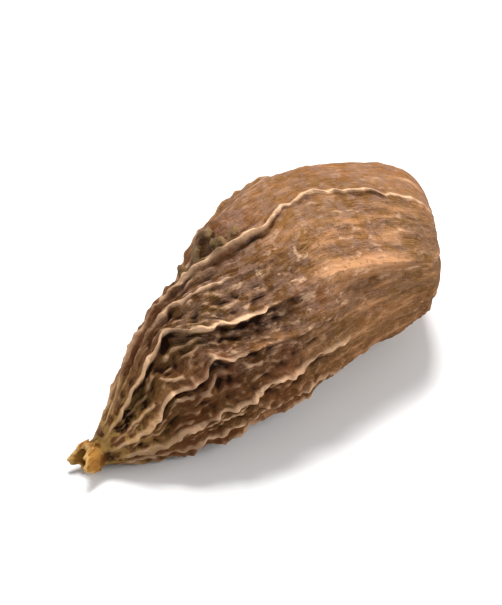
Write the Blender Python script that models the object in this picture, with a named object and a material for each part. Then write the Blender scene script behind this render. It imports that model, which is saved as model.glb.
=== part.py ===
"""Black cardamom pod, one whole dried fruit lying on its side. Metres, +Z up.

The pod lies along X, with the torn stub of its flower tube at -X and its blunt wide end at +X. It rests
on the plane Z = 0. Lengths below are in millimetres and are turned into metres once, in place_on_floor.
Angles go round the pod in degrees: 0 faces -Y, 90 faces up, 180 faces +Y and 270 faces down.
"""
import math

import bmesh
import bpy
import numpy as np

METRES = 0.001

# Driving dimensions
BODY_LENGTH = 38.0
BODY_END = 0.950
END_STARTS = 0.82
END_FULLNESS = 2.8
FULL_RADIUS = 9.0
RELIEF_RADIUS = 2.4
WIDTH_SHARE = 1.03
HEIGHT_SHARE = 0.96
REST_DEPTH = 0.42
END_SLANT = 4.4
END_SLANT_ANGLE = 168.0
END_DIMPLE = 1.1
END_DIMPLE_RADIUS = 2.4

# The stub: a short torn tube, with the outline that runs from the floor of its hollow over the rim
STUB_RADIUS = 1.35
STUB_OUTLINE = [(-0.60, 0.00), (-0.62, 0.45), (-0.95, 0.72), (-1.60, 0.84), (-2.05, 1.02),
                (-2.12, 1.28), (-1.85, 1.48), (-1.20, 1.36), (-0.60, 1.24), (0.00, 1.30)]
STUB_TEAR = 0.75
STUB_TEAR_ANGLE = 28.0

# The middle of the body and its girth, at these shares of its length
STATIONS = [0.0, 0.05, 0.1, 0.2, 0.3, 0.4, 0.5, 0.6, 0.7, 0.8, 0.9, 1.0]
GIRTH = [1.3, 2.3, 3.5, 5.6, 6.9, 7.65, 8.25, 8.55, 8.5, 8.05, 6.95, 5.4]
SIDEWAYS = [0.0, 0.0, 0.0, 0.0, 0.1, 0.5, 1.1, 1.6, 1.7, 1.4, 0.7, 0.0]
HEIGHT = [2.1, 2.6, 3.5, 5.5, 6.9, 7.7, 8.25, 8.45, 8.4, 8.1, 7.6, 7.2]

# Each rib: its angles at RIB_PLACES, where it dies out, its height, its width, how far its crest leans
# for each millimetre of height, and how much it wanders
RIB_PLACES = [0.0, 0.15, 0.3, 0.45, 0.6, 0.8, 1.0]
RIBS = {
    "near_under": ((-22, -10, -12, -14, -18, -22, -24), 0.70, 0.80, 0.34, -0.3, 0.8),
    "near_low": ((2, 12, 13, 10, 10, 4, 0), 0.70, 1.20, 0.30, -0.5, 0.8),
    "face": ((40, 51, 46, 32, 28, 19, 14), 0.36, 1.45, 0.28, -0.5, 1.0),
    "shoulder": ((84, 101, 71, 56, 49, 34, 28), 0.48, 1.60, 0.28, -0.5, 1.2),
    "loop": ((100, 120, 106, 82, 74, 60, 44), 0.50, 0.60, 0.34, -0.3, 1.4),
    "brow": ((118, 138, 136, 104, 102, 82, 58), 1.20, 0.90, 0.20, -0.4, 0.7),
    "crown": ((138, 156, 156, 135, 125, 114, 100), 0.50, 0.70, 0.34, 0.2, 1.2),
    "back": ((159, 173, 175, 162, 154, 149, 144), 0.85, 1.10, 0.32, 0.3, 0.8),
    "far_side": ((180, 190, 192, 184, 180, 178, 176), 0.66, 1.20, 0.30, 0.4, 1.0),
    "far_low": ((203, 210, 211, 206, 204, 204, 204), 0.95, 1.20, 0.30, 0.4, 0.8),
    "far_under": ((229, 231, 231, 229, 229, 229, 230), 0.62, 1.00, 0.34, 0.2, 0.9),
    "belly_far": ((254, 254, 253, 254, 254, 255, 255), 0.88, 0.90, 0.40, 0.0, 0.6),
    "belly_near": ((284, 287, 287, 287, 287, 286, 285), 0.86, 0.90, 0.40, 0.0, 0.6),
    "near_bottom": ((311, 318, 317, 316, 315, 314, 312), 0.66, 0.90, 0.34, -0.2, 0.9),
}

# How much of its height a rib loses where it dies out, how much it keeps where the pod is slim, and the
# shape of its crest
RIB_FADE = 0.75
SLIM_SHARE = 0.35
EDGE_ROUNDING = 0.08
FOOT_REACH = 1.1
FOOT_SHARE = 0.22
GROOVE_SHARE = 0.35
GROOVE_PLACE = 0.55
GROOVE_REACH = 0.30

# Where a rib jumps aside: its name, the place along the body, the turn in degrees and the reach
KINKS = [("shoulder", 0.205, 9.0, 0.022), ("face", 0.145, 7.0, 0.022), ("face", 0.245, 8.0, 0.020)]

# Unevenness along a rib: layers of amount, reach, and where in the noise the layer is read
SWAYS = [(0.34, 4.2, 7.3, 0.5), (0.22, 1.5, 5.1, 9.5)]
TEETH = [(0.5, 1.9, 3.7, 3.3), (0.5, 4.5, 2.9, 6.1)]

# Skin between the ribs: how far it sags, swells and puckers, and the reach of each
SAG_EVEN = 0.20
SAG_SHRUNK = 0.45
SAG_GAP = 4.0
SWELLS = [(0.40, 13.0, 0), (0.28, 6.0, 20)]
WRINKLE_EVEN = 0.12
WRINKLE_SHRUNK = 0.34
WRINKLE_GAP = 2.5
WARP = 0.6
WARP_REACH = 3.5
LENGTHWISE_SHARE = 0.75
LENGTHWISE_REACH = (4.2, 2.2)
CROSSWISE_REACH = (2.0, 2.9)

# Spans of the body, as shares of its length: rises between the first two, falls between the last two
SHRUNK_SPAN = (0.0, 0.12, 0.22, 0.58)
WRINKLED_SPAN = (0.0, 0.10, 0.22, 0.60)
VALVE_SPAN = (0.38, 0.42, 0.66, 0.90)
DIP_SPAN = (0.21, 0.32, 0.36, 0.42)
KNOB_SPAN = (0.32, 0.36, 0.44, 0.54)
FOLD_SPAN = (0.48, 0.58, 0.70, 0.84)

# The upper side: round this angle the wrinkles fade this much of the length sooner
SMOOTHER_ANGLE = 100.0
SMOOTHER_SHIFT = 0.10

# The full valve behind the brow rib, the dip before it, the knobs where it begins, and the soft fold
# that carries on where the shoulder rib dies out
VALVE_RISE = 0.9
VALVE_DIP = 1.1
VALVE_TURN = 34.0
VALVE_SPREAD = 24.0
KNOB_RISE = 1.3
KNOB_SIZE = 1.2
KNOB_TURN = 22.0
KNOB_SPREAD = 16.0
FOLD_RISE = 0.45
FOLD_REACH = 1.1

SEED = 7
OUTLINE_STEPS = 300
COLUMNS_PER_RIB = 7
ROWS = 58
ROW_CROWDING = 1.35
HUSK_BROWN = (0.235, 0.128, 0.070, 1.0)


class Noise:
    """Gradient noise: seeded directions on a lattice of whole numbers, blended between its corners."""

    def __init__(self, seed):
        draw = np.random.default_rng(seed)
        self.order = draw.permutation(256)
        directions = draw.normal(size=(256, 3))
        self.directions = directions / np.linalg.norm(directions, axis=1)[:, None]

    def corner(self, cell, offset, corner):
        """Share of one lattice corner at each point, before the blend."""
        at = cell + corner
        pick = self.order[at[..., 0] & 255]
        pick = self.order[(pick + at[..., 1]) & 255]
        pick = self.order[(pick + at[..., 2]) & 255]
        return (self.directions[pick] * (offset - corner)).sum(-1)

    def __call__(self, x, y, z):
        point = np.stack(np.broadcast_arrays(x, y, z), -1).astype(float)
        cell = np.floor(point).astype(int)
        offset = point - cell
        blend = offset ** 3 * (offset * (offset * 6 - 15) + 10)
        total = 0.0
        for index in range(8):
            corner = np.array([index & 1, index >> 1 & 1, index >> 2 & 1])
            weight = np.where(corner == 1, blend, 1 - blend).prod(-1)
            total = total + weight * self.corner(cell, offset, corner)
        return total * 1.6


def ease(start, stop, value):
    """0 before start, 1 after stop, and a smooth step between them."""
    share = np.clip((value - start) / (stop - start), 0, 1)
    return share * share * (3 - 2 * share)


def within(span, place):
    """0 outside a span, 1 inside it: it rises over the first two places and falls over the other two."""
    return ease(span[0], span[1], place) * (1 - ease(span[2], span[3], place))


def through(value, knots, heights):
    """Smooth curve through the heights given at the knots."""
    value, knots, heights = np.asarray(value, float), np.asarray(knots, float), np.asarray(heights, float)
    slope = np.gradient(heights, knots)
    left = np.clip(np.searchsorted(knots, value) - 1, 0, len(knots) - 2)
    gap = knots[left + 1] - knots[left]
    share = np.clip((value - knots[left]) / gap, 0, 1)
    rise = share * share * (3 - 2 * share)
    lead_in = (share ** 3 - 2 * share ** 2 + share) * gap * slope[left]
    lead_out = (share ** 3 - share ** 2) * gap * slope[left + 1]
    return heights[left] * (1 - rise) + heights[left + 1] * rise + lead_in + lead_out


def creases(noise, x, y, z):
    """0.55 on the lines where the noise is zero, falling to -0.45 away from them."""
    return np.clip(1 - np.abs(noise(x, y, z)) * 2.2, 0, 1) ** 2 - 0.45


def layered(noise, layers, along, number):
    """Sum of layers of noise along a rib, each with its own amount and reach."""
    return sum(amount * noise(along / reach, number * spread, shift)
               for amount, reach, spread, shift in layers)


def outline(rows):
    """Place along the axis and radius of each ring, from the floor of the stub's hollow to the wide end."""
    stub = np.array(STUB_OUTLINE)
    stub_steps = np.linspace(0, len(stub) - 1, OUTLINE_STEPS)
    stub_along = through(stub_steps, np.arange(len(stub)), stub[:, 0])
    stub_radius = through(stub_steps, np.arange(len(stub)), stub[:, 1])
    side = np.linspace(0, END_STARTS, OUTLINE_STEPS)[1:]
    turn = np.linspace(0, math.pi / 2, OUTLINE_STEPS)[1:]
    end = END_STARTS + (BODY_END - END_STARTS) * np.sin(turn) ** (2 / END_FULLNESS)
    closing = np.cos(turn).clip(0) ** (2 / END_FULLNESS)
    along = np.concatenate([stub_along, side * BODY_LENGTH, end * BODY_LENGTH])
    radius = np.concatenate([stub_radius, through(side, STATIONS, GIRTH),
                             through(end, STATIONS, GIRTH) * closing])
    travelled = np.concatenate([[0], np.cumsum(np.hypot(np.diff(along), np.diff(radius)))])
    rings = travelled[-1] * np.linspace(0, 1, rows) ** ROW_CROWDING
    radius = np.interp(rings, travelled, radius)
    radius[[0, -1]] = 0
    return np.interp(rings, travelled, along), radius


def rib_lines(along, radius, bend, notch):
    """Angle, height and width of every rib at every ring: arrays of ribs by rings."""
    share = np.clip(along / BODY_LENGTH, 0, 1)
    on_body = ease(-0.02, 0.06, along / BODY_LENGTH)
    before_end = 1 - ease(0.9, 1.0, share) * (1 - np.clip(radius / 5.0, 0, 1))
    size = np.clip(radius / FULL_RADIUS, 0, 1)
    calmer = 1 - 0.4 * ease(0.45, 0.8, share)
    angles, heights, widths = [], [], []
    for number, (name, rib) in enumerate(RIBS.items()):
        turns, dies_out, rise, width, _, wander = rib
        alive = 1 - RIB_FADE * ease(dies_out - 0.16, dies_out + 0.02, share)
        angle = through(share, RIB_PLACES, turns)
        for kinked, place, turn, reach in KINKS:
            if kinked == name:
                angle = angle + turn * np.exp(-((share - place) / reach) ** 2)
        calm = (0.2 + 0.8 * alive) * (1 - 0.7 * ease(0.5, 0.9, share))
        sway = layered(bend, SWAYS, along, number) * wander * calm
        teeth = layered(notch, TEETH, along, number)
        angles.append(angle + np.degrees(sway / np.maximum(radius, 3.0)))
        grown = SLIM_SHARE + (1 - SLIM_SHARE) * size ** 0.65
        heights.append(rise * alive * (0.75 + 0.8 * teeth * calmer) * grown * on_body * before_end * calmer)
        widths.append(width * (0.5 + 0.5 * size))
    return np.array(angles), np.array(heights), np.array(widths)


def skin(rows, columns_per_rib):
    """Points of the pod's skin in millimetres, rings by columns, with a column along every rib's crest."""
    first, second, third = Noise(SEED), Noise(SEED + 1), Noise(SEED + 2)
    along, radius = outline(rows)
    angles, heights, widths = rib_lines(along, radius, first, second)
    count = len(RIBS)
    following = np.roll(np.arange(count), -1)
    next_angles = angles[following] + np.where(following == 0, 360, 0)[:, None]
    leans = np.array([rib[4] for rib in RIBS.values()])[:, None]
    next_leans = leans[following]

    across = np.arange(columns_per_rib) / columns_per_rib
    across = across - 0.11 * np.sin(2 * math.pi * across)
    angle_here, angle_next = angles.T[:, :, None], next_angles.T[:, :, None]
    angle = angle_here + (angle_next - angle_here) * across
    ring = radius[:, None, None]
    x = along[:, None, None]
    place = np.clip(x / BODY_LENGTH, 0, 1)
    on_body = ease(-0.02, 0.06, x / BODY_LENGTH)
    before_end = 1 - ease(0.9, 1.0, place) * (1 - np.clip(ring / 5.0, 0, 1))
    groove_share = GROOVE_SHARE * (1 - 0.7 * ease(0.5, 0.8, place))

    def crest(rib_angle, height, width, lean):
        """Ridge with a sharp top that falls away on both sides, and a groove on the side it leans to."""
        side = np.radians(angle - rib_angle) * ring
        distance = np.abs(side)
        groove = np.exp(-((side * np.sign(lean) - GROOVE_PLACE) / GROOVE_REACH) ** 2)
        edge = np.exp(-(np.hypot(distance, EDGE_ROUNDING) - EDGE_ROUNDING) / width.T[:, :, None])
        foot = np.exp(-(distance / FOOT_REACH) ** 2)
        profile = (1 - FOOT_SHARE) * edge + FOOT_SHARE * foot - groove_share * groove
        return height.T[:, :, None] * profile

    crest_here = crest(angle_here, heights, widths, leans)
    crest_next = crest(angle_next, heights[following], widths[following], next_leans)
    lean = leans * crest_here.clip(0) + next_leans * crest_next.clip(0)

    panel = np.arange(count)[None, :, None]
    gap = np.radians(angle_next - angle_here) * ring
    sag = (SAG_EVEN + SAG_SHRUNK * within(SHRUNK_SPAN, place)) * np.clip(gap / SAG_GAP, 0, 1.3)
    sag = sag * (1 + 0.6 * second(x / 8.0, panel * 4.1, 1.7)) * np.sin(math.pi * across) ** 1.3

    round_pod = 2 * math.pi * (panel + across) / count
    u, v = FULL_RADIUS * np.cos(round_pod), FULL_RADIUS * np.sin(round_pod)
    swell = sum(amount * third(x / reach, u / reach + shift, v / reach) for amount, reach, shift in SWELLS)
    warp = WARP * third(x / WARP_REACH + 31, u / WARP_REACH, v / WARP_REACH)
    long, wide = LENGTHWISE_REACH
    lengthwise = creases(first, x / long + 3.1, (u + warp) / wide, (v - warp) / wide)
    long, wide = CROSSWISE_REACH
    crosswise = creases(second, (x + warp) / long + 11.7, u / wide, v / wide)
    above = ease(0.1, 0.3, place) * np.cos(np.radians(angle - SMOOTHER_ANGLE))
    wrinkled = within(WRINKLED_SPAN, place + SMOOTHER_SHIFT * above)
    net = LENGTHWISE_SHARE * lengthwise + (1 - LENGTHWISE_SHARE) * crosswise
    net = net * (WRINKLE_EVEN + WRINKLE_SHRUNK * wrinkled) * np.clip(gap / WRINKLE_GAP, 0.25, 1)
    relief = crest_here + crest_next + (swell + net - sag) * on_body * before_end

    brow = angles[list(RIBS).index("brow")][:, None, None]
    valve = VALVE_RISE * within(VALVE_SPAN, place) - VALVE_DIP * within(DIP_SPAN, place)
    relief = relief + valve * np.exp(-((angle - brow - VALVE_TURN) / VALVE_SPREAD) ** 2)
    knobs = np.clip(third(x / KNOB_SIZE, u / KNOB_SIZE + 4, v / KNOB_SIZE), 0, 1) * within(KNOB_SPAN, place)
    knobs = knobs * np.exp(-((angle - brow - KNOB_TURN) / KNOB_SPREAD) ** 2)
    relief = relief + KNOB_RISE * knobs

    shoulder = angles[list(RIBS).index("shoulder")][:, None, None]
    fold = within(FOLD_SPAN, place) * np.exp(-(np.radians(angle - shoulder) * ring / FOLD_REACH) ** 2)
    relief = relief + FOLD_RISE * fold

    turn = np.radians(angle) + lean / np.maximum(ring, 2.0)
    relief = relief * np.clip(ring / RELIEF_RADIUS, 0, 1)
    slant = END_SLANT * np.cos(turn - math.radians(END_SLANT_ANGLE)) * ease(0.75, 1.0, place)
    dimple = END_DIMPLE * np.exp(-(ring / END_DIMPLE_RADIUS) ** 2) * ease(0.9, 1.0, place)
    tear = STUB_TEAR * np.cos(2 * (turn - math.radians(STUB_TEAR_ANGLE)))
    tear = tear * (1 - ease(-0.055, -0.01, x / BODY_LENGTH)) * (ring / STUB_RADIUS) ** 2
    point_x = x + slant * ring / FULL_RADIUS - dimple - tear
    point_y = through(place, STATIONS, SIDEWAYS) - (ring * WIDTH_SHARE + relief) * np.cos(turn)
    point_z = through(place, STATIONS, HEIGHT) + (ring * HEIGHT_SHARE + relief) * np.sin(turn)
    points = np.stack([point_x, point_y, point_z], -1)
    return points.reshape(rows, count * columns_per_rib, 3)


def place_on_floor(points):
    """Metres, with the middle of the box over the origin and the low ribs pressed flat at Z = 0."""
    points = points * METRES
    middle = (points.min((0, 1)) + points.max((0, 1))) / 2
    points = points - [middle[0], middle[1], REST_DEPTH * METRES]
    points[..., 2] = points[..., 2].clip(0)
    return points


def husk_material():
    """Dull brown, dry and fibrous."""
    material = bpy.data.materials.new("husk")
    material.use_nodes = True
    shader = material.node_tree.nodes["Principled BSDF"]
    shader.inputs["Base Color"].default_value = HUSK_BROWN
    shader.inputs["Roughness"].default_value = 0.7
    shader.inputs["Metallic"].default_value = 0.0
    return material


def pod(collection):
    """The whole pod: a globe of rings and columns, its top pole at the stub, moved onto the skin."""
    columns = COLUMNS_PER_RIB * len(RIBS)
    points = place_on_floor(skin(ROWS + 1, COLUMNS_PER_RIB))
    globe = bmesh.new()
    bmesh.ops.create_uvsphere(globe, u_segments=columns, v_segments=ROWS, radius=1.0)
    for vertex in globe.verts:
        row = round(math.acos(max(-1.0, min(1.0, vertex.co.z))) / math.pi * ROWS)
        column = round(math.atan2(vertex.co.y, vertex.co.x) / (2 * math.pi) * columns) % columns
        vertex.co = points[row, column]
    bmesh.ops.triangulate(globe, faces=globe.faces[:])
    mesh = bpy.data.meshes.new("pod")
    globe.to_mesh(mesh)
    globe.free()
    mesh.shade_smooth()
    mesh.materials.append(husk_material())
    collection.objects.link(bpy.data.objects.new("pod", mesh))


def main():
    for thing in list(bpy.data.objects):
        bpy.data.objects.remove(thing)
    collection = bpy.data.collections.new("black_cardamom_pod")
    bpy.context.scene.collection.children.link(collection)
    pod(collection)


main()
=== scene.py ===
# %% [markdown]
# # A dried black cardamom pod
#
# This lesson dresses one dried seed pod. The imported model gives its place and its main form: a long
# body with fourteen ribs, crumpled at the narrow end and full at the wide end. Here the same form is
# worked out again on a much finer grid, wrinkled, and given the look of a dry, smoked, fibrous husk.

# %% The frame
import math

import bpy
import numpy as np
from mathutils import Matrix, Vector


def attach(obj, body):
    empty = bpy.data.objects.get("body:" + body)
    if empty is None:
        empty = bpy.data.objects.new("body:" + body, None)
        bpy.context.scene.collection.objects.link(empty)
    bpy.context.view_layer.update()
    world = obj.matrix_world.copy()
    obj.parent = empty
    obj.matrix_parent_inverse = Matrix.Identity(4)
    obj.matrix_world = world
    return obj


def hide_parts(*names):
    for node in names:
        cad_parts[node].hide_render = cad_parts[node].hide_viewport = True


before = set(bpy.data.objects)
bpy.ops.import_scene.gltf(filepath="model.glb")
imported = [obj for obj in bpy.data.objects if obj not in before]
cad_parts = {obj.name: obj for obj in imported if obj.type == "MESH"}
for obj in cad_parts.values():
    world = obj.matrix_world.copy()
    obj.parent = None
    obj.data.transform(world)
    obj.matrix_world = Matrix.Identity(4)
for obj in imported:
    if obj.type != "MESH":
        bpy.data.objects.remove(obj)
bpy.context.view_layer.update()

# %% [markdown]
# ## The view
#
# The pod is looked at from above and from its narrow end, so that it runs up and away to the right. A
# long lens from some way off keeps its proportions true, as a product photographer would.

# %% The camera
AZIMUTH = math.radians(-36.0)
ELEVATION = math.radians(47.0)
CAMERA_DISTANCE = 0.42
LENS = 285.0
MIDDLE = Vector((0.0, 0.0, 0.0085))

toward_camera = Vector((math.sin(AZIMUTH) * math.cos(ELEVATION),
                        -math.cos(AZIMUTH) * math.cos(ELEVATION),
                        math.sin(ELEVATION)))
lens = bpy.data.cameras.new("camera")
lens.lens = LENS
lens.clip_start = 0.01
camera = bpy.data.objects.new("camera", lens)
camera.location = MIDDLE + toward_camera * CAMERA_DISTANCE
camera.rotation_euler = (-toward_camera).to_track_quat("-Z", "Y").to_euler()
bpy.context.scene.collection.objects.link(camera)
bpy.context.scene.camera = camera
print("camera stands at", [round(value, 3) for value in camera.location])

# %% [markdown]
# ## The sizes of the pod
#
# A real pod is a soft fruit that dried and shrank, so no box or ball is near it. It could be sculpted by
# hand, but a form worked out from a few short lists can be changed in one place and comes out the same
# each time. These lists say how thick the pod is at a dozen places and where its middle lies there.
#
# Lengths are in millimetres. A place is a share of the body's length: 0 at the stub, 1 at the wide end.
# Angles are in degrees: 0 faces the viewer's side, 90 faces up, 180 the far side and 270 the table.

# %% Sizes of the body
METRES = 0.001
BODY_LENGTH = 38.0
FULL_RADIUS = 9.0
WIDTH_SHARE = 1.03
HEIGHT_SHARE = 0.96
REST_DEPTH = 0.42

STATIONS = [0.0, 0.05, 0.1, 0.2, 0.3, 0.4, 0.5, 0.6, 0.7, 0.8, 0.9, 1.0]
GIRTH = [1.3, 2.3, 3.5, 5.6, 6.9, 7.65, 8.25, 8.55, 8.5, 8.05, 6.95, 5.4]
SIDEWAYS = [0.0, 0.0, 0.0, 0.0, 0.1, 0.5, 1.1, 1.6, 1.7, 1.4, 0.7, 0.0]
HEIGHT = [2.1, 2.6, 3.5, 5.5, 6.9, 7.7, 8.25, 8.45, 8.4, 8.1, 7.6, 7.2]
print("body", BODY_LENGTH, "mm long, thickest radius", max(GIRTH), "mm")

# %% [markdown]
# ## The two ends
#
# The wide end is blunt and slanted, with a dimple in its middle. The narrow end carries a short torn tube,
# which is what is left of the flower. The tube's outline is a list of points, each a place along the axis
# in millimetres and a radius, from the floor of its hollow, over its rim, to the neck of the body.

# %% Sizes of the two ends
END_STARTS = 0.82
BODY_END = 0.950
END_FULLNESS = 2.8
END_SLANT = 4.4
END_SLANT_ANGLE = 168.0
SLANT_SPAN = (0.75, 1.0)
END_DIMPLE = 1.1
END_DIMPLE_RADIUS = 2.4
END_SPAN = (0.9, 1.0)

STUB_RADIUS = 1.35
STUB_OUTLINE = [(-0.60, 0.00), (-0.62, 0.45), (-0.95, 0.72), (-1.60, 0.84), (-2.05, 1.02),
                (-2.12, 1.28), (-1.85, 1.48), (-1.20, 1.36), (-0.60, 1.24), (0.00, 1.30)]
STUB_SPAN = (-0.055, -0.01)
STUB_TEAR = 0.75
STUB_TEAR_ANGLE = 28.0
STUB_FRAY = 0.60
FRAY_TEETH = 3.2
FRAY_INWARD = 0.45
print("stub", 2 * STUB_RADIUS, "mm across, blunt end from place", END_STARTS, "to", BODY_END)

# %% [markdown]
# ## The ribs
#
# A cardamom fruit has lengthwise ribs that stand up as the husk dries and shrinks between them. Each line
# below gives a rib's angles at seven places, where it dies out, its height and width, how far its crest
# leans over for each millimetre of height, and how much it wanders.

# %% The ribs
RIB_PLACES = [0.0, 0.15, 0.3, 0.45, 0.6, 0.8, 1.0]
RIBS = {
    "near_under": ((-22, -10, -12, -14, -18, -22, -24), 0.70, 0.80, 0.34, -0.3, 0.8),
    "near_low": ((2, 12, 13, 10, 10, 4, 0), 0.70, 1.20, 0.30, -0.5, 0.8),
    "face": ((40, 51, 46, 32, 28, 19, 14), 0.36, 1.45, 0.28, -0.5, 1.0),
    "shoulder": ((84, 101, 71, 56, 49, 34, 28), 0.48, 1.60, 0.28, -0.5, 1.2),
    "loop": ((100, 120, 106, 82, 74, 60, 44), 0.50, 0.60, 0.34, -0.3, 1.4),
    "brow": ((118, 138, 136, 104, 102, 82, 58), 1.20, 0.90, 0.20, -0.4, 0.7),
    "crown": ((138, 156, 156, 135, 125, 114, 100), 0.50, 0.70, 0.34, 0.2, 1.2),
    "back": ((159, 173, 175, 162, 154, 149, 144), 0.85, 1.10, 0.32, 0.3, 0.8),
    "far_side": ((180, 190, 192, 184, 180, 178, 176), 0.66, 1.20, 0.30, 0.4, 1.0),
    "far_low": ((203, 210, 211, 206, 204, 204, 204), 0.95, 1.20, 0.30, 0.4, 0.8),
    "far_under": ((229, 231, 231, 229, 229, 229, 230), 0.62, 1.00, 0.34, 0.2, 0.9),
    "belly_far": ((254, 254, 253, 254, 254, 255, 255), 0.88, 0.90, 0.40, 0.0, 0.6),
    "belly_near": ((284, 287, 287, 287, 287, 286, 285), 0.86, 0.90, 0.40, 0.0, 0.6),
    "near_bottom": ((311, 318, 317, 316, 315, 314, 312), 0.66, 0.90, 0.34, -0.2, 0.9),
}
print(len(RIBS), "ribs")

# %% [markdown]
# ## Breaks and kinks
#
# No dried rib runs evenly: in some places it has sunk or crumbled away, in others it is folded aside. A
# break names its rib and place, the share of the height that is lost, and its reach. A kink gives a turn
# in degrees instead of the share. Each crest carries a pale line, partly worn husk and partly a painted
# highlight. It is strongest on the near ribs, and towards the wide end every pale line but the brow's
# fades.

# %% Breaks and kinks
BREAKS = [("brow", 0.46, 0.25, 0.060), ("brow", 0.375, 0.4, 0.025), ("brow", 0.29, 0.4, 0.022),
          ("brow", 0.20, 0.35, 0.020), ("shoulder", 0.36, 0.45, 0.018), ("near_low", 0.46, 0.5, 0.030),
          ("near_low", 0.60, 0.5, 0.040), ("near_low", 0.34, 0.6, 0.040), ("near_low", 0.20, 0.5, 0.030),
          ("near_under", 0.30, 0.5, 0.050), ("face", 0.13, 0.5, 0.020), ("loop", 0.40, 0.5, 0.080)]
KINKS = [("shoulder", 0.205, 9.0, 0.022), ("face", 0.145, 7.0, 0.022), ("face", 0.245, 8.0, 0.020)]
NEAR_RIBS = ("near_low", "face", "shoulder", "brow")
OTHER_RIBS_PALE = 0.75
PALE_FADES = (0.40, 0.62)
WIDE_END_LOSS = 0.55
print(len(BREAKS), "breaks and", len(KINKS), "kinks")

# %% [markdown]
# ## Noise
#
# Nothing on a dried fruit is even. Gradient noise gives a smooth random height for any point in space:
# every corner of a lattice holds a random direction, and a point takes a blend of how far it lies along
# the directions of the eight corners around it. A displacement texture could do this too, but this formula
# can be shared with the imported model, so that both have the same broad wrinkles.

# %% Noise
SEED = 7
DIRECTIONS = 256
NOISE_GAIN = 1.6


class Noise:
    """Gradient noise: seeded directions on a lattice of whole numbers, blended between its corners."""

    def __init__(self, seed):
        draw = np.random.default_rng(seed)
        self.order = draw.permutation(DIRECTIONS)
        directions = draw.normal(size=(DIRECTIONS, 3))
        self.directions = directions / np.linalg.norm(directions, axis=1)[:, None]

    def corner(self, cell, offset, corner):
        """Share of one lattice corner at each point, before the blend."""
        at = cell + corner
        pick = self.order[at[..., 0] % DIRECTIONS]
        pick = self.order[(pick + at[..., 1]) % DIRECTIONS]
        pick = self.order[(pick + at[..., 2]) % DIRECTIONS]
        return (self.directions[pick] * (offset - corner)).sum(-1)

    def __call__(self, x, y, z):
        point = np.stack(np.broadcast_arrays(x, y, z), -1).astype(float)
        cell = np.floor(point).astype(int)
        offset = point - cell
        blend = offset ** 3 * (offset * (offset * 6 - 15) + 10)
        total = 0.0
        for index in range(8):
            corner = np.array([index & 1, index >> 1 & 1, index >> 2 & 1])
            weight = np.where(corner == 1, blend, 1 - blend).prod(-1)
            total = total + weight * self.corner(cell, offset, corner)
        return total * NOISE_GAIN


first, second, third = Noise(SEED), Noise(SEED + 1), Noise(SEED + 2)
print("noise at a point:", round(float(first(0.3, 0.7, 0.2)), 3))

# %% [markdown]
# ## Patterns from noise
#
# Stretched noise makes streaks, and short noise makes grit. Noise folded at zero makes creases, as in
# puckered skin. Where a plain number is added to a place inside a noise, it only shifts the pattern, so
# that no two of them are alike.

# %% Patterns
CREASE_SLOPE = 2.2
CREASE_DEPTH = 0.45


def creases(noise, x, y, z):
    """Raised lines where the noise is zero: (1 - slope times its size) squared, less the depth."""
    return np.clip(1 - np.abs(noise(x, y, z)) * CREASE_SLOPE, 0, 1) ** 2 - CREASE_DEPTH


def patterned(noise, size, x, u, v, shift=0.0):
    """Noise with grains of a given height, length along the pod and width round it."""
    height, long, wide = size
    return height * noise(x / long + shift, u / wide, v / wide)


def layered(noise, layers, along, number):
    """Sum of layers of noise along a rib, each with its own amount and reach."""
    return sum(amount * noise(along / reach, number * spread, shift)
               for amount, reach, spread, shift in layers)


print("a crease rises", 1 - CREASE_DEPTH, "and sinks", CREASE_DEPTH)

# %% [markdown]
# ## Smooth steps and curves
#
# Every change along the pod is gradual, so each is a smooth step, a bell or a smooth curve.

# %% Steps and curves
def ease(start, stop, value):
    """0 before start, 1 after stop, and a smooth step between them."""
    share = np.clip((value - start) / (stop - start), 0, 1)
    return share * share * (3 - 2 * share)


def within(span, place):
    """0 outside a span, 1 inside it: it rises over the first two places and falls over the other two."""
    return ease(span[0], span[1], place) * (1 - ease(span[2], span[3], place))


def bell(distance, reach):
    """1 at no distance, and e to the power of minus the square of distance over reach beyond it."""
    return np.exp(-(distance / reach) ** 2)


def through(value, knots, heights):
    """Smooth curve through the heights given at the knots."""
    value, knots, heights = np.asarray(value, float), np.asarray(knots, float), np.asarray(heights, float)
    slope = np.gradient(heights, knots)
    left = np.clip(np.searchsorted(knots, value) - 1, 0, len(knots) - 2)
    gap = knots[left + 1] - knots[left]
    share = np.clip((value - knots[left]) / gap, 0, 1)
    rise = share * share * (3 - 2 * share)
    lead_in = (share ** 3 - 2 * share ** 2 + share) * gap * slope[left]
    lead_out = (share ** 3 - share ** 2) * gap * slope[left + 1]
    return heights[left] * (1 - rise) + heights[left + 1] * rise + lead_in + lead_out


print("radius at the middle", through(0.5, STATIONS, GIRTH), "mm")

# %% [markdown]
# ## The outline
#
# Seen from the side, the pod is one line from the floor of the stub's hollow, over its rim, along the
# body and round the blunt end. Rings are spread evenly along that line, a little closer at the narrow
# end, where the husk is most crumpled.

# %% The outline
OUTLINE_STEPS = 300
ROWS = 279
ROW_CROWDING = 1.35


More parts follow.
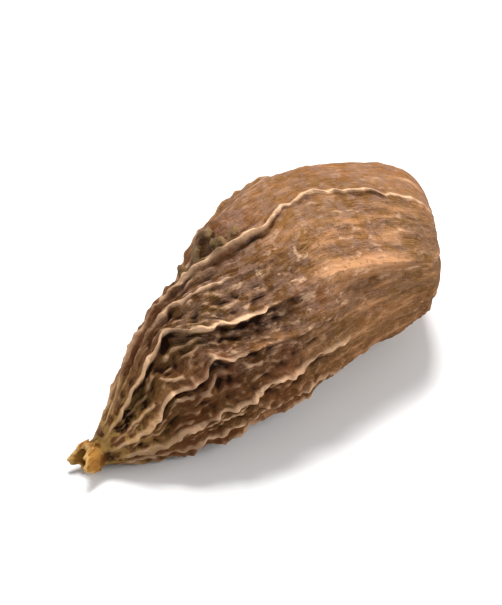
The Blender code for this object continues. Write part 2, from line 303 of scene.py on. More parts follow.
def outline(rows):
    """Place along the axis and radius of each ring, from the floor of the stub's hollow to the wide end."""
    stub = np.array(STUB_OUTLINE)
    stub_steps = np.linspace(0, len(stub) - 1, OUTLINE_STEPS)
    stub_along = through(stub_steps, np.arange(len(stub)), stub[:, 0])
    stub_radius = through(stub_steps, np.arange(len(stub)), stub[:, 1])
    side = np.linspace(0, END_STARTS, OUTLINE_STEPS)[1:]
    turn = np.linspace(0, math.pi / 2, OUTLINE_STEPS)[1:]
    end = END_STARTS + (BODY_END - END_STARTS) * np.sin(turn) ** (2 / END_FULLNESS)
    closing = np.cos(turn).clip(0) ** (2 / END_FULLNESS)
    along = np.concatenate([stub_along, side * BODY_LENGTH, end * BODY_LENGTH])
    radius = np.concatenate([stub_radius, through(side, STATIONS, GIRTH),
                             through(end, STATIONS, GIRTH) * closing])
    travelled = np.concatenate([[0], np.cumsum(np.hypot(np.diff(along), np.diff(radius)))])
    rings = travelled[-1] * np.linspace(0, 1, rows) ** ROW_CROWDING
    radius = np.interp(rings, travelled, radius)
    radius[[0, -1]] = 0
    return np.interp(rings, travelled, along), radius


ring_along, ring_radius = outline(ROWS + 1)
print("rings run from", ring_along.min().round(2), "to", ring_along.max().round(2), "mm")

# %% [markdown]
# ## The rib lines
#
# A rib is a line that wanders round the pod as it runs along it. Its height swells and shrinks like
# teeth, and it calms down towards the full, smooth wide end, where a finer flutter takes over.

# %% Sizes of the rib lines
SWAYS = [(0.34, 4.2, 7.3, 0.5), (0.22, 1.5, 5.1, 9.5), (0.17, 0.7, 2.3, 4.4)]
SWAY_CALMS = (0.5, 0.9)
SWAY_LOSS = 0.7
DEAD_SWAY = 0.2
SWAY_RADIUS = 3.0
FLUTTER = [(0.42, 1.4, 3.7, 2.2), (0.24, 0.7, 2.1, 5.7)]
FLUTTER_STARTS = (0.30, 0.50)
FLUTTER_SHARE = 0.4
TEETH = [(0.5, 1.9, 3.7, 3.3), (0.5, 4.5, 2.9, 6.1), (0.35, 0.65, 4.1, 8.3)]
TOOTH_MIDDLE = 0.75
TOOTH_SHARE = 0.8
HEIGHT_CALMS = (0.45, 0.8)
HEIGHT_LOSS = 0.4
FADE_SPAN = (-0.16, 0.02)
RIB_FADE = 0.75
SLIM_SHARE = 0.35
GROWTH = 0.65
SLIM_WIDTH = 0.5
HUSK_STARTS = (-0.02, 0.06)
END_CALM_RADIUS = 5.0
print("ribs sway by up to about", sum(layer[0] for layer in SWAYS), "mm")


# %% The rib lines
def on_husk(along, radius):
    """1 on the husk, falling to 0 on the stub and towards the middle of the wide end."""
    place = along / BODY_LENGTH
    end = ease(*END_SPAN, np.clip(place, 0, 1)) * (1 - np.clip(radius / END_CALM_RADIUS, 0, 1))
    return ease(*HUSK_STARTS, place) * (1 - end)


def rib_lines(along, radius, bend, notch):
    """Angle, height and width of every rib at every ring, and how much of it shows: ribs by rings.

    The angle is the rib's own curve, plus its kinks, its sway and its flutter. The height is the rib's
    rise, times the teeth, times what its breaks and its end leave of it, and it is lower where the pod
    is slim and where it grows calm.
    """
    share = np.clip(along / BODY_LENGTH, 0, 1)
    size = np.clip(radius / FULL_RADIUS, 0, 1)
    grown = SLIM_SHARE + (1 - SLIM_SHARE) * size ** GROWTH
    calmer = 1 - HEIGHT_LOSS * ease(*HEIGHT_CALMS, share)
    angles, heights, widths, shown = [], [], [], []
    for number, (name, rib) in enumerate(RIBS.items()):
        turns, dies_out, rise, width, _, wander = rib
        faded = ease(dies_out + FADE_SPAN[0], dies_out + FADE_SPAN[1], share)
        alive = 1 - RIB_FADE * faded
        angle = through(share, RIB_PLACES, turns)
        for kinked, place, turn, reach in KINKS:
            if kinked == name:
                angle = angle + turn * bell(share - place, reach)
        for broken, place, loss, reach in BREAKS:
            if broken == name:
                alive = alive * (1 - loss * bell(share - place, reach))
        calm = (DEAD_SWAY + (1 - DEAD_SWAY) * alive) * (1 - SWAY_LOSS * ease(*SWAY_CALMS, share))
        sway = layered(bend, SWAYS, along, number) * wander * calm
        flutter = alive * ease(*FLUTTER_STARTS, share) * (1 if name == "brow" else FLUTTER_SHARE)
        sway = sway + layered(notch, FLUTTER, along, number) * flutter
        teeth = TOOTH_MIDDLE + TOOTH_SHARE * layered(notch, TEETH, along, number) * calmer
        loss = 0 if name == "brow" else WIDE_END_LOSS * ease(*PALE_FADES, share)
        angles.append(angle + np.degrees(sway / np.maximum(radius, SWAY_RADIUS)))
        heights.append(rise * alive * teeth * grown * on_husk(along, radius) * calmer)
        widths.append(width * (SLIM_WIDTH + (1 - SLIM_WIDTH) * size))
        shown.append((1 - faded) * (1 - loss) * (1 if name in NEAR_RIBS else OTHER_RIBS_PALE))
    return np.array(angles), np.array(heights), np.array(widths), np.array(shown)


rib_angles, rib_heights, rib_widths, rib_shown = rib_lines(ring_along, ring_radius, first, second)
print("the tallest rib stands", rib_heights.max().round(2), "mm high")

# %% [markdown]
# ## The crests
#
# A rib's crest is sharp, because the husk has dried to a fold there, and a groove runs along the side that
# it leans to. Its top is nicked, and its pale line is partly worn husk and partly a painted highlight.

# %% A crest
EDGE_ROUNDING = 0.08
FOOT_REACH = 1.1
FOOT_SHARE = 0.22
GROOVE_SHARE = 0.35
GROOVE_PLACE = 0.55
GROOVE_REACH = 0.30
GROOVE_FADES = (0.5, 0.8)
GROOVE_LOSS = 0.7
FULL_LINE = 0.45
LINE_WIDTH = 0.30
SLIM_LINE = 0.65
NICK_DEPTH = 0.24
NICK_SIZE = (1.0, 0.8, 1.3)
NICK_EDGE = 0.6


def crest(angle, ring, place, rib_angle, height, width, lean, shown):
    """Ridge of one rib at each point, and the strength of its pale line.

    The ridge falls away from its top by e to the power of minus the distance over the width, and has a
    broader foot. A bell-shaped groove beside it is taken off.
    """
    side = np.radians(angle - rib_angle) * ring
    distance = np.abs(side)
    groove_share = GROOVE_SHARE * (1 - GROOVE_LOSS * ease(*GROOVE_FADES, place))
    groove = bell(side * np.sign(lean) - GROOVE_PLACE, GROOVE_REACH)
    edge = np.exp(-(np.hypot(distance, EDGE_ROUNDING) - EDGE_ROUNDING) / width)
    profile = (1 - FOOT_SHARE) * edge + FOOT_SHARE * bell(distance, FOOT_REACH) - groove_share * groove
    line_width = LINE_WIDTH * (SLIM_LINE + (1 - SLIM_LINE) * np.clip(ring / FULL_RADIUS, 0, 1))
    line = shown * np.clip(height / FULL_LINE, 0, 1) * bell(distance, line_width)
    return height * profile, line


print("a pale line is", 2 * LINE_WIDTH, "mm wide where the pod is full")

# %% [markdown]
# ## The wrinkles
#
# Between two ribs lies a panel of thin skin. It sags, swells, and puckers into a raised net, most of all
# where the pod has shrunk. The upper side stays smoother, so that the wrinkles end sooner there.

# %% Sizes of the wrinkles
SHRUNK_SPAN = (0.0, 0.12, 0.22, 0.58)
SAG_EVEN = 0.20
SAG_SHRUNK = 0.45
SAG_GAP = 4.0
SAG_FULLEST = 1.3
SAG_ROUNDNESS = 1.3
SAG_UNEVEN = 0.6
SAG_REACH = 8.0
PANEL_SPREAD = 4.1
SWELLS = [(0.40, 13.0, 0), (0.28, 6.0, 20)]
WRINKLED_SPAN = (0.0, 0.10, 0.22, 0.60)
SMOOTHER_STARTS = (0.1, 0.3)
SMOOTHER_ANGLE = 100.0
SMOOTHER_SHIFT = 0.10
WRINKLE_EVEN = 0.12
WRINKLE_SHRUNK = 0.28
WRINKLE_GAP = 2.5
LEAST_ROOM = 0.25
WARP = 0.6
WARP_REACH = 3.5
LENGTHWISE_SHARE = 0.75
LENGTHWISE_REACH = (4.2, 2.2)
CROSSWISE_REACH = (2.0, 2.9)
BROAD_STREAK = (0.7, 8.0, 1.2)
THIN_STREAK = (0.5, 5.0, 0.6)
STREAK_EVEN = 0.20
STREAK_SHRUNK = 0.10
COARSE_GRIT = (1.0, 1.1, 0.6)
FINE_GRIT = (0.6, 0.5, 0.4)
ROUGH_EVEN = 0.11
ROUGH_SHRUNK = 0.24
print("wrinkles are", round(WRINKLE_EVEN + WRINKLE_SHRUNK, 2), "mm high where the pod has shrunk most")


# %% Sag and wrinkles
def sag(x, place, panel, across, gap):
    """Depth of a panel: a half wave across it, deeper where it is wide and where the pod has shrunk."""
    depth = (SAG_EVEN + SAG_SHRUNK * within(SHRUNK_SPAN, place)) * np.clip(gap / SAG_GAP, 0, SAG_FULLEST)
    uneven = 1 + SAG_UNEVEN * second(x / SAG_REACH, panel * PANEL_SPREAD, 1.7)
    return depth * uneven * np.sin(math.pi * across) ** SAG_ROUNDNESS


def wrinkles(x, u, v, place, angle, gap):
    """Height of the skin's relief: a net of creases, streaks and grit, all scaled by the room."""
    warp = WARP * third(x / WARP_REACH + 31, u / WARP_REACH, v / WARP_REACH)
    long, wide = LENGTHWISE_REACH
    lengthwise = creases(first, x / long + 3.1, (u + warp) / wide, (v - warp) / wide)
    long, wide = CROSSWISE_REACH
    crosswise = creases(second, (x + warp) / long + 11.7, u / wide, v / wide)
    net = LENGTHWISE_SHARE * lengthwise + (1 - LENGTHWISE_SHARE) * crosswise
    streaks = patterned(third, BROAD_STREAK, x, u + warp, v + warp, 7.9)
    streaks = streaks + patterned(second, THIN_STREAK, x, u + warp, v - warp, 2.9)
    grit = patterned(first, COARSE_GRIT, x, u, v) + patterned(second, FINE_GRIT, x, u, v)
    above = ease(*SMOOTHER_STARTS, place) * np.cos(np.radians(angle - SMOOTHER_ANGLE))
    wrinkled = within(WRINKLED_SPAN, place + SMOOTHER_SHIFT * above)
    relief = net * (WRINKLE_EVEN + WRINKLE_SHRUNK * wrinkled)
    relief = relief + streaks * (STREAK_EVEN + STREAK_SHRUNK * wrinkled)
    relief = relief + grit * (ROUGH_EVEN + ROUGH_SHRUNK * wrinkled)
    return relief * np.clip(gap / WRINKLE_GAP, LEAST_ROOM, 1)


print("the skin's relief is ready")

# %% [markdown]
# ## Notch, knobs and fold
#
# Three forms of this pod are its own. Behind its long upper rib the husk stands up like a valve, with a
# notch before it where dark knobs show. And a broad pale fold runs along the middle of the full part; its
# pale paint is partly the husk's own peach tone and partly a painted highlight.

# %% Notch, knobs and fold
VALVE_SPAN = (0.38, 0.42, 0.66, 0.90)
VALVE_RISE = 0.9
VALVE_TURN = 34.0
VALVE_SPREAD = 24.0
DIP_SPAN = (0.21, 0.32, 0.36, 0.42)
VALVE_DIP = 1.1
KNOB_SPAN = (0.28, 0.33, 0.42, 0.50)
KNOB_RISE = 1.05
KNOB_SIZE = 1.0
KNOB_EDGE = 0.55
KNOB_TURN = 16.0
KNOB_SPREAD = 15.0
FOLD_SPAN = (0.48, 0.58, 0.70, 0.84)
FOLD_RISE = 0.45
FOLD_REACH = 1.1


def own_forms(x, u, v, ring, place, angle, brow, shoulder):
    """Height of the valve, the knobs and the fold at each point, and the last two as maps from 0 to 1."""
    valve = VALVE_RISE * within(VALVE_SPAN, place) - VALVE_DIP * within(DIP_SPAN, place)
    valve = valve * bell(angle - brow - VALVE_TURN, VALVE_SPREAD)
    knobs = ease(0.0, KNOB_EDGE, third(x / KNOB_SIZE, u / KNOB_SIZE + 4, v / KNOB_SIZE))
    knobs = knobs * within(KNOB_SPAN, place) * bell(angle - brow - KNOB_TURN, KNOB_SPREAD)
    fold = within(FOLD_SPAN, place) * bell(np.radians(angle - shoulder) * ring, FOLD_REACH)
    return valve + KNOB_RISE * knobs + FOLD_RISE * fold, knobs, fold


print("the valve stands", VALVE_RISE, "mm up, the notch", VALVE_DIP, "mm down")

# %% [markdown]
# ## The skin
#
# The skin is one function of two parameters: the ring, and the share of the way from one rib to the
# next. Because a column of points runs along every crest, the crests stay sharp. A plain tube with a
# displacement would blunt them wherever they cross its columns.

# %% The skin
COLUMNS_PER_RIB = 25
COLUMN_CROWDING = 0.11
LEAN_RADIUS = 2.0
RELIEF_RADIUS = 2.4
BROW, SHOULDER = list(RIBS).index("brow"), list(RIBS).index("shoulder")


def skin(along, radius, ribs):
    """Points of the skin in millimetres, rings by columns, and the maps that its colours need.

    A point starts on the ring's ellipse. The crests of the two ribs beside it, the swell of the panel and
    its relief push it outwards, and the sag of the panel and the nicks of the crest pull it in.
    """
    angles, heights, widths, shown = (part.T[:, :, None] for part in ribs)
    leans = np.array([lean for *_, lean, _ in RIBS.values()])[:, None]
    count = len(RIBS)
    following = np.roll(np.arange(count), -1)
    next_angles = angles[:, following] + np.where(following == 0, 360, 0)[:, None]
    across = np.arange(COLUMNS_PER_RIB) / COLUMNS_PER_RIB
    across = across - COLUMN_CROWDING * np.sin(2 * math.pi * across)
    angle = angles + (next_angles - angles) * across
    ring, x = radius[:, None, None], along[:, None, None]
    place = np.clip(x / BODY_LENGTH, 0, 1)
    gap = np.radians(next_angles - angles) * ring
    panel = np.arange(count)[None, :, None]
    round_pod = 2 * math.pi * (panel + across) / count
    u, v = FULL_RADIUS * np.cos(round_pod), FULL_RADIUS * np.sin(round_pod)

    crest_here, line_here = crest(angle, ring, place, angles, heights, widths, leans, shown)
    crest_next, line_next = crest(angle, ring, place, next_angles, heights[:, following],
                                  widths[:, following], leans[following], shown[:, following])
    lean = leans * crest_here.clip(0) + leans[following] * crest_next.clip(0)
    line = np.maximum(line_here, line_next)
    nicks = NICK_DEPTH * line * ease(0.0, NICK_EDGE, patterned(third, NICK_SIZE, x, u, v, 5.3))
    swell = sum(amount * third(x / reach, u / reach + shift, v / reach) for amount, reach, shift in SWELLS)
    panels = swell + wrinkles(x, u, v, place, angle, gap) - sag(x, place, panel, across, gap)
    forms, knobs, fold = own_forms(x, u, v, ring, place, angle, angles[:, [BROW]], angles[:, [SHOULDER]])
    relief = crest_here + crest_next - nicks + panels * on_husk(x, ring) + forms
    relief = relief * np.clip(ring / RELIEF_RADIUS, 0, 1)

    turn = np.radians(angle) + lean / np.maximum(ring, LEAN_RADIUS)
    slant = END_SLANT * np.cos(turn - math.radians(END_SLANT_ANGLE)) * ease(*SLANT_SPAN, place)
    dimple = END_DIMPLE * bell(ring, END_DIMPLE_RADIUS) * ease(*END_SPAN, place)
    tear = STUB_TEAR * np.cos(2 * (turn - math.radians(STUB_TEAR_ANGLE)))
    tear = tear * (1 - ease(*STUB_SPAN, x / BODY_LENGTH)) * (ring / STUB_RADIUS) ** 2
    point_x = x + slant * ring / FULL_RADIUS - dimple - tear
    point_y = through(place, STATIONS, SIDEWAYS) - (ring * WIDTH_SHARE + relief) * np.cos(turn)
    point_z = through(place, STATIONS, HEIGHT) + (ring * HEIGHT_SHARE + relief) * np.sin(turn)
    shape = (len(along), count * COLUMNS_PER_RIB)
    maps = {"crest": line, "place": x / BODY_LENGTH, "ring": ring, "fold": fold, "knobs": knobs,
            "grain_u": u, "grain_v": v}
    maps = {name: (field + np.zeros_like(angle)).reshape(shape) for name, field in maps.items()}
    return np.stack([point_x, point_y, point_z], -1).reshape(*shape, 3), maps


raw_points, maps = skin(ring_along, ring_radius, (rib_angles, rib_heights, rib_widths, rib_shown))
print("skin of", raw_points.shape[0], "rings by", raw_points.shape[1], "columns")

# %% [markdown]
# ## On the floor
#
# The pod rests on its lowest ribs, which are pressed flat by a fraction of a millimetre. Its box is
# centred over the origin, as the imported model's is. The stub's rim is frayed afterwards, so that its
# loose teeth don't shift the pod.

# %% Resting and fraying
def place_on_floor(points):
    """Metres, with the middle of the box over the origin and the low ribs pressed flat at Z = 0."""
    points = points * METRES
    middle = (points.min((0, 1)) + points.max((0, 1))) / 2
    points = points - [middle[0], middle[1], REST_DEPTH * METRES]
    points[..., 2] = points[..., 2].clip(0)
    return points


def frayed(points, maps):
    """Points with uneven teeth torn into the rim of the stub, and the rest as it was."""
    from_middle = points - points.mean(1, keepdims=True)
    turn = np.arctan2(from_middle[..., 2], from_middle[..., 1])
    on_stub = 1 - ease(*STUB_SPAN, maps["place"])
    rim = (maps["ring"] / STUB_RADIUS) ** 2
    teeth = third(FRAY_TEETH * np.cos(turn), FRAY_TEETH * np.sin(turn), maps["ring"]) - FRAY_INWARD
    tear = STUB_FRAY * teeth * on_stub * rim
    points = points.copy()
    points[..., 0] -= tear * METRES
    return points


points = frayed(place_on_floor(raw_points), maps)
print("skin box", (points.reshape(-1, 3).max(0) - points.reshape(-1, 3).min(0)).round(4))

# %% [markdown]
# ## Hollows and crests
#
# Dust, smoke and old skin gather in the hollows of a husk, and its crests are worn pale. The hollows are
# painted darker still as painted shade, and the crests paler as a painted highlight. To paint all that, the
# script has to know how deep each point lies: it blurs the whole surface, and measures how far the blurred
# surface stands in front of the true one or behind it. Where the pod is slim its grid is finer, so that a
# blur reaches less far there, and the depths are raised to make up for it.

# %% Depth of each point
BLURS = {"fine_depth": 3, "depth": 16, "broad_depth": 90}
CROWDED_RADIUS = 5.0
LEAST_CROWDING = 0.25
FULL_RINGS = slice(ROWS // 2, -8)
NO_LENGTH = 1e-12


def blurred(field, times):
    """Field averaged with its neighbours, again and again; columns close round the pod."""
    for _ in range(times):
        field = (np.roll(field, 1, 1) + 2 * field + np.roll(field, -1, 1)) / 4
        padded = np.concatenate([field[:1], field, field[-1:]])
        field = (padded[:-2] + 2 * padded[1:-1] + padded[2:]) / 4
    return field


def outward(points):
    """Unit normals of the grid: its slope along the pod crossed with its slope round it, pointing out."""
    round_slope = np.roll(points, -1, 1) - np.roll(points, 1, 1)
    long_slope = np.gradient(points, axis=0)
    normals = np.cross(long_slope, round_slope)
    normals[[0, -1]] = normals[[1, -2]]
    normals = normals / np.maximum(np.linalg.norm(normals, axis=-1, keepdims=True), NO_LENGTH)
    from_middle = points - points.mean(1, keepdims=True)
    return normals * np.sign((from_middle * normals)[FULL_RINGS].sum(-1).mean())


def depth(points, normals, times):
    """How far each point lies below the blurred surface, in millimetres; negative on a crest."""
    return ((blurred(points, times) - points) * normals).sum(-1) / METRES


normals = outward(points)
crowding = np.clip(maps["ring"] / CROWDED_RADIUS, LEAST_CROWDING, 1)
for name, times in BLURS.items():
    maps[name] = depth(points, normals, times) / crowding
    print(name, "from", maps[name][FULL_RINGS].min().round(3), "to", maps[name][FULL_RINGS].max().round(3))

# %% [markdown]
# ## The mesh
#
# The rings and columns become four-sided faces. The first and the last ring have no radius, so each is
# one point, closed by a fan of triangles. The maps go with the mesh as attributes.

# %% The mesh
def pod_mesh(points, maps):
    """Closed mesh of the grid: a pole, inner rings by columns, and a pole, with faces pointing out."""
    rings, columns = points.shape[:2]
    inner = points[1:-1].reshape(-1, 3)
    corners = np.concatenate([points[:1, 0], inner, points[-1:, 0]])
    here = np.arange(columns)
    beside = (here + 1) % columns
    start = 1 + np.arange(rings - 3)[:, None] * columns
    quads = np.stack([start + here, start + columns + here, start + columns + beside, start + beside], -1)
    last = len(corners) - 1
    last_ring = last - columns
    caps = [np.stack([here * 0, 1 + here, 1 + beside], -1),
            np.stack([here * 0 + last, last_ring + beside, last_ring + here], -1)]
    faces = quads.reshape(-1, 4)[:, ::-1].tolist()
    faces += np.concatenate(caps)[:, ::-1].tolist()
    mesh = bpy.data.meshes.new("pod_husk")
    mesh.from_pydata(corners.tolist(), [], faces)
    for name, field in maps.items():
        values = np.concatenate([[field[0].mean()], field[1:-1].ravel(), [field[-1].mean()]])
        mesh.attributes.new(name, "FLOAT", "POINT").data.foreach_set("value", values.astype(np.float32))
    mesh.polygons.foreach_set("use_smooth", np.ones(len(mesh.polygons), bool))
    mesh.update()
    return mesh


husk = bpy.data.objects.new("pod_husk", pod_mesh(points, maps))
bpy.context.scene.collection.objects.link(husk)
triangles = sum(len(face.vertices) - 2 for face in husk.data.polygons)
print("husk has", triangles, "triangles")

# %% [markdown]
# ## Shader maths
#
# A material is a net of nodes. To write it as plain sums, a small class wraps one socket: adding or
# multiplying two of them adds a Math node. Every other node comes from one method.

# %% Sockets that can be added and multiplied
COLOUR_RESULT = 2


class Flow:
    """One output socket in a material, with the sums that can be done on it."""

    def __init__(self, tree, socket):
        self.tree = tree
        self.socket = socket

    def sum_node(self, operation, *values):
        """Math node that does one sum on the values."""
        return node(self.tree, "ShaderNodeMath", {"operation": operation}, dict(enumerate(values)))

    def __add__(self, other):
        return self.sum_node("ADD", self, other)

    def __sub__(self, other):
        return self.sum_node("SUBTRACT", self, other)

    def __rsub__(self, other):
        return self.sum_node("SUBTRACT", other, self)

    def __mul__(self, other):
        return self.sum_node("MULTIPLY", self, other)

    __radd__ = __add__
    __rmul__ = __mul__

    def between(self, low, high):
        """0 below low, 1 above high, eased between them."""
        settings = {"interpolation_type": "SMOOTHSTEP"}
        return node(self.tree, "ShaderNodeMapRange", settings,
                    {"Value": self, "From Min": low, "From Max": high})

    def clear(self):
        """Held between 0 and 1."""
        return node(self.tree, "ShaderNodeClamp", {}, {"Value": self})


def node(tree, kind, settings, inputs, output=0):
    """Adds a node, sets its settings first and then its sockets, and gives back one output."""
    made = tree.nodes.new(kind)
    for name, value in settings.items():
        setattr(made, name, value)
    by_identifier = {socket.identifier: socket for socket in made.inputs}
    for name, value in inputs.items():
        socket = by_identifier.get(name) or made.inputs[name]
        if isinstance(value, Flow):
            tree.links.new(value.socket, socket)
        else:
            socket.default_value = value
    return Flow(tree, made.outputs[output])


def mixed(low, high, share):
    """Colour that goes from low to high as share goes from 0 to 1."""
    settings = {"data_type": "RGBA", "clamp_factor": True}
    return node(share.tree, "ShaderNodeMix", settings,
                {"Factor_Float": share, "A_Color": low, "B_Color": high}, COLOUR_RESULT)


print("shader sums are ready")

# %% [markdown]
# ## The husk's finish
#
# A black cardamom pod is dried over smoke. Its husk is a dull, fibrous brown with darker fibres running
# along it, a greyer upper side with flakes of old pale skin, and a golden stub. Its hollows are nearly
# black, partly from dirt and smoke and partly as painted shade, and its crests are pale, partly worn and
# partly as a painted highlight. The narrow end is darker, partly its own colour and partly painted shade;
# the low side, the wide end and the inside of the stub are darkened as painted shade. Each of these is a
# paint and a mask, laid over the last one in turn.

# %% Paints
def linear(red, green, blue):
    """Colour as Blender counts it, from the 0 to 255 that a picture shows."""
    def channel(value):
        value = value / 255
        return value / 12.92 if value <= 0.04045 else ((value + 0.055) / 1.055) ** 2.4
    return (channel(red), channel(green), channel(blue), 1.0)


BROWN = linear(118, 83, 47)
WARM_BROWN = linear(140, 96, 54)
PEACH_BROWN = linear(204, 150, 106)
# brown of the narrow end: partly the shrunk husk's own colour, partly painted shade
SHRUNK_AND_SHADE_BROWN = linear(76, 44, 13)
DARK_BROWN = linear(78, 44, 18)
HOLLOW_BROWN = linear(30, 11, 2)
GREY_BROWN = linear(140, 110, 94)
OLIVE_BROWN = linear(112, 90, 48)
RED_BROWN = linear(120, 72, 48)
# brown of painted shade, for the low side and the wide end
PAINTED_SHADE_BROWN = linear(96, 56, 26)
PALE_CREST = linear(228, 186, 148)
GOLD = linear(178, 124, 54)
RIM_BROWN = linear(120, 66, 18)
STRAW = linear(190, 150, 84)
PALE_GOLD = linear(226, 184, 112)
print("fifteen paints, the darkest", [round(value, 4) for value in HOLLOW_BROWN[:3]])

# %% [markdown]
# ## Patterns in the husk
#
# Fibres, patches, streaks and flakes are noise stretched along the pod: their first number is how much a
# millimetre along the pod counts. The other patterns are as long as they are wide. Then come the scale of
# the noise, its detail and its roughness.

# %% Patterns in the husk
STRETCHED = {"fibres": (0.16, 2.6, 4.0, 0.6), "fine_fibres": (0.16, 7.0, 3.0, 0.6),
             "patches": (0.35, 0.24, 3.0, 0.55), "streaks": (0.3, 0.65, 3.0, 0.6),
             "flaking": (0.6, 1.1, 3.0, 0.6)}
EVEN = {"mottle": (900.0, 4.0, 0.6), "specks": (2900.0, 3.0, 0.65), "tints": (130.0, 2.0, 0.5),
        "chips": (420.0, 3.0, 0.6), "wear": (140.0, 2.0, 0.5), "grains": (6000.0, 2.0, 0.6)}

finish = bpy.data.materials.new("husk")
finish.use_nodes = True
tree = finish.node_tree


def field(name):
    """One of the maps that the mesh carries."""
    return node(tree, "ShaderNodeAttribute", {"attribute_name": name}, {}, "Fac")


def grain(vector, scale, detail, rough):
    """Noise of one scale at a position."""
    return node(tree, "ShaderNodeTexNoise", {}, {"Vector": vector, "Scale": scale, "Detail": detail,
                                                 "Roughness": rough})


def along_pod(squeeze):
    """Position on a straight, round pod, with its length counted less."""
    return node(tree, "ShaderNodeCombineXYZ", {}, {"X": along * squeeze, "Y": grain_u, "Z": grain_v})


place, ring = field("place"), field("ring")
along = place * BODY_LENGTH
grain_u, grain_v = field("grain_u"), field("grain_v")
spot = node(tree, "ShaderNodeTexCoord", {}, {}, "Object")
fibres, fine_fibres, patches, streaks, flaking = (
    grain(along_pod(squeeze), *sizes) for squeeze, *sizes in STRETCHED.values())
mottle, specks, tints, chips, wear, grains = (grain(spot, *sizes) for sizes in EVEN.values())
print(len(STRETCHED) + len(EVEN), "patterns")

# %% [markdown]
# ## Masks
#
# A mask is 1 where a paint belongs and 0 elsewhere. The two numbers of a `between` are the values at which
# a mask starts and at which it is full. Towards the middle of the wide end all fibres would crowd into a
# star, so they are parted from it by a mask of their own.

# %% Masks
sideways = node(tree, "ShaderNodeSeparateXYZ", {}, {"Vector": spot}, "Y")
above_floor = node(tree, "ShaderNodeSeparateXYZ", {}, {"Vector": spot}, "Z")
high = above_floor.between(0.007, 0.015)
low = 1 - above_floor.between(0.004, 0.012)
near = 1 - sideways.between(-0.002, 0.001)
narrow = 1 - place.between(0.28, 0.68)
parted = 1 - place.between(0.85, 0.93) * (1 - ring.between(2.0, 6.5))
olive = tints.between(0.50, 0.62) * (1 - high * 0.6)
reddish = 1 - tints.between(0.36, 0.48)
greyed = mottle.between(0.40, 0.60) * (0.03 + high * (0.57 + narrow * 0.1))
# painted shade: the low side of the pod and its wide end are darkened
painted_shade_low_and_end = low * 0.60 + place.between(0.75, 0.93) * 0.2
pale_streaks = streaks.between(0.50, 0.70) * parted
dark_fibres = fibres.between(0.48, 0.72) * parted
thin_dark = fine_fibres.between(0.50, 0.72)
thin_pale = (1 - fine_fibres.between(0.32, 0.48)) * parted
dark_specks = specks.between(0.52, 0.68)
# pale fold: partly the husk's own peach tone, partly a painted highlight
folded = (field("fold") * (0.4 + streaks)).between(0.1, 0.9)
knobbly = (field("knobs") + mottle * 0.12 - 0.06).between(0.0, 0.30)
print("masks of the skin are ready")

# %% Masks of hollows, crests and ends
# dark hollows: partly the dirt and smoke that gather there, partly painted shade
hollow = field("depth").between(0.03, 0.24) * (0.35 + narrow * 0.45)
broad_hollow = field("broad_depth").between(0.08, 0.55) * (0.22 + narrow * 0.45)
hollows = (hollow + broad_hollow).clear()
# pale convex ridges: partly worn husk, partly painted highlight
ridge = (0 - field("depth")).between(0.06, 0.26)
thin_ridge = (0 - field("fine_depth")).between(0.015, 0.080) * (0.35 + narrow * 0.35)
wear_and_highlight_pattern = chips * 1.1 + wear * 2.2 - 0.75
crest_wear_and_highlight = wear_and_highlight_pattern * (0.50 + mottle * 0.6 + specks * 0.4)
ridge_wear_and_highlight = ((ridge + thin_ridge) * 0.35 * wear_and_highlight_pattern).clear()
# pale crest lines: partly worn husk, partly painted highlight, weaker on the low ribs, which lie in shade
crests = (field("crest") * crest_wear_and_highlight).between(0.26, 0.90) * (0.58 + high * 0.37)
flaked = place.between(0.18, 0.30) * (1 - place.between(0.62, 0.80)) * high * near
flakes = flaking.between(0.555, 0.645) * flaked * mottle.between(0.40, 0.58)
golden = (1 - place.between(0.03, 0.16)) * mottle.between(0.44, 0.58)
stub = 1 - (place + mottle * 0.03).between(-0.02, 0.02)
# painted shade: the inside of the stub's tube is painted nearly black
painted_shade_in_stub = stub * (1 - ring.between(0.15, 0.95)) * (1 - place.between(-0.045, -0.01))
ragged = ring + (mottle + tints - 1) * 3.0
scar = place.between(0.9, 0.93) * (1 - ragged.between(0.5, 2.2))
print("masks of the hollows, crests and ends are ready")

# %% [markdown]
# ## Layers of paint
#
# Each line is a paint, its mask, the share of the paint there, and what the narrow end adds to the share.

# %% Layers of paint
knob_paint = mixed(HOLLOW_BROWN, OLIVE_BROWN, mottle.between(0.40, 0.62))
gold_paint = mixed(RIM_BROWN, GOLD, (mottle * 0.6 + fibres * 0.4).between(0.42, 0.60))
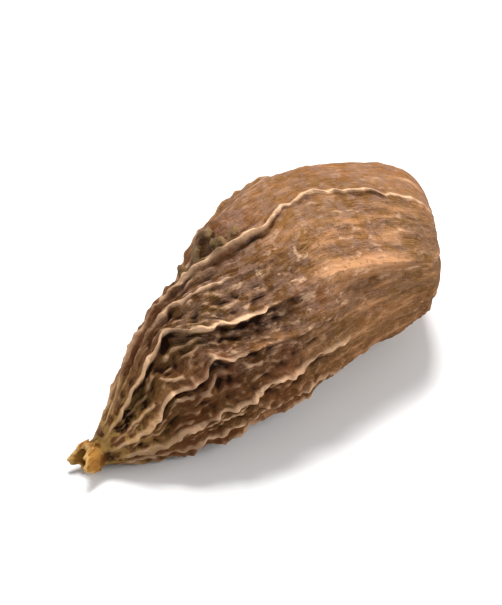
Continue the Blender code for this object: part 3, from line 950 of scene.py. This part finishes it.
# painted highlight: the stub's fine ridges are painted pale gold
gold_paint = mixed(gold_paint, PALE_GOLD, thin_ridge)
LAYERS = [
    # narrow end darkened: partly its own colour, partly painted shade
    (SHRUNK_AND_SHADE_BROWN, narrow, 0.90, 0),
    (OLIVE_BROWN, olive, 0.15, 0.35),
    (RED_BROWN, reddish, 0.25, 0.30),
    (GREY_BROWN, greyed, 1.00, 0),
    # painted shade over the low side and the wide end
    (PAINTED_SHADE_BROWN, painted_shade_low_and_end, 1.00, 0),
    (PEACH_BROWN, pale_streaks, 0.55, -0.35),
    # pale fold: partly own tone, partly painted highlight
    (PEACH_BROWN, folded, 0.75, 0),
    (DARK_BROWN, dark_fibres, 0.30, 0.15),
    (DARK_BROWN, thin_dark, 0.20, 0),
    (PEACH_BROWN, thin_pale, 0.35, -0.20),
    (DARK_BROWN, dark_specks, 0.40, 0.30),
    # dark hollows: partly dirt, partly painted shade
    (HOLLOW_BROWN, hollows, 1.00, 0),
    # pale convex ridges: partly worn husk, partly painted highlight
    (PALE_CREST, ridge_wear_and_highlight, 1.00, 0),
    # pale crest lines: partly worn husk, partly painted highlight
    (PALE_CREST, crests, 1.00, 0),
    (PALE_CREST, flakes, 0.60, 0),
    (STRAW, golden, 0.50, 0),
    (knob_paint, knobbly, 0.75, 0),
    (gold_paint, stub, 0.90, 0),
    # painted shade inside the stub
    (HOLLOW_BROWN, painted_shade_in_stub, 1.00, 0),
    (HOLLOW_BROWN, scar, 0.80, 0),
]

colour = mixed(BROWN, WARM_BROWN, patches.between(0.38, 0.62))
for paint, mask, share, narrow_end_adds in LAYERS:
    colour = mixed(colour, paint, mask * (share + narrow * narrow_end_adds))
print(len(LAYERS), "layers of paint")

# %% The husk's material
HUSK_ROUGHNESS = 0.7
HUSK_SHINE = 0.08
BUMP_STRENGTH = 0.8
BUMP_HEIGHT = 0.00035

shader = tree.nodes["Principled BSDF"]
shader.inputs["Roughness"].default_value = HUSK_ROUGHNESS
shader.inputs["Specular IOR Level"].default_value = HUSK_SHINE
tree.links.new(colour.socket, shader.inputs["Base Color"])
height = fibres * 0.5 + fine_fibres * 0.4 + specks * 0.4 + grains * 0.3
bump = node(tree, "ShaderNodeBump", {}, {"Strength": BUMP_STRENGTH, "Distance": BUMP_HEIGHT,
                                         "Height": height})
tree.links.new(bump.socket, shader.inputs["Normal"])
husk.data.materials.append(finish)
print("husk painted with", len(tree.nodes), "nodes")

# %% [markdown]
# ## Floor and light
#
# A pale floor and one wide soft light above and behind the pod show its ribs: the light grazes the
# crests and leaves the hollows dark. A weaker light fills in from the front.

# %% Floor
FLOOR_SIZE = 3.0
FLOOR_GREY = 0.86
FLOOR_ROUGHNESS = 0.9


def floor_piece():
    """One large square at the height that the pod rests on."""
    half = FLOOR_SIZE / 2
    mesh = bpy.data.meshes.new("floor")
    mesh.from_pydata([(-half, -half, 0), (half, -half, 0), (half, half, 0), (-half, half, 0)], [],
                     [(0, 1, 2, 3)])
    material = bpy.data.materials.new("floor")
    material.use_nodes = True
    shader = material.node_tree.nodes["Principled BSDF"]
    shader.inputs["Base Color"].default_value = (FLOOR_GREY, FLOOR_GREY, FLOOR_GREY, 1.0)
    shader.inputs["Roughness"].default_value = FLOOR_ROUGHNESS
    mesh.materials.append(material)
    piece = bpy.data.objects.new("floor", mesh)
    bpy.context.scene.collection.objects.link(piece)
    return piece


floor = floor_piece()
print("floor", FLOOR_SIZE, "m square")

# %% Lights
SURROUND = 0.40


def soft_light(name, direction, distance, size, power):
    """Square light that looks at the pod from a direction."""
    light = bpy.data.lights.new(name, "AREA")
    light.size = size
    light.energy = power
    toward = Vector(direction).normalized()
    lamp = bpy.data.objects.new(name, light)
    lamp.location = MIDDLE + toward * distance
    lamp.rotation_euler = (-toward).to_track_quat("-Z", "Y").to_euler()
    bpy.context.scene.collection.objects.link(lamp)


soft_light("key", direction=(0.25, 0.4, 1.0), distance=0.6, size=0.22, power=5.1)
soft_light("fill", direction=(1.0, -0.8, 0.7), distance=0.8, size=0.40, power=4.0)
world = bpy.data.worlds.new("studio")
world.use_nodes = True
world.node_tree.nodes["Background"].inputs["Color"].default_value = (1, 1, 1, 1)
world.node_tree.nodes["Background"].inputs["Strength"].default_value = SURROUND
bpy.context.scene.world = world
bpy.context.scene.view_settings.view_transform = "Standard"
print("two soft lights and a pale surround")

# %% [markdown]
# ## Handing over
#
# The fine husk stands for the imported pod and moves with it. The floor is only the stage.

# %% Handing over
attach(husk, "root")
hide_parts("pod")
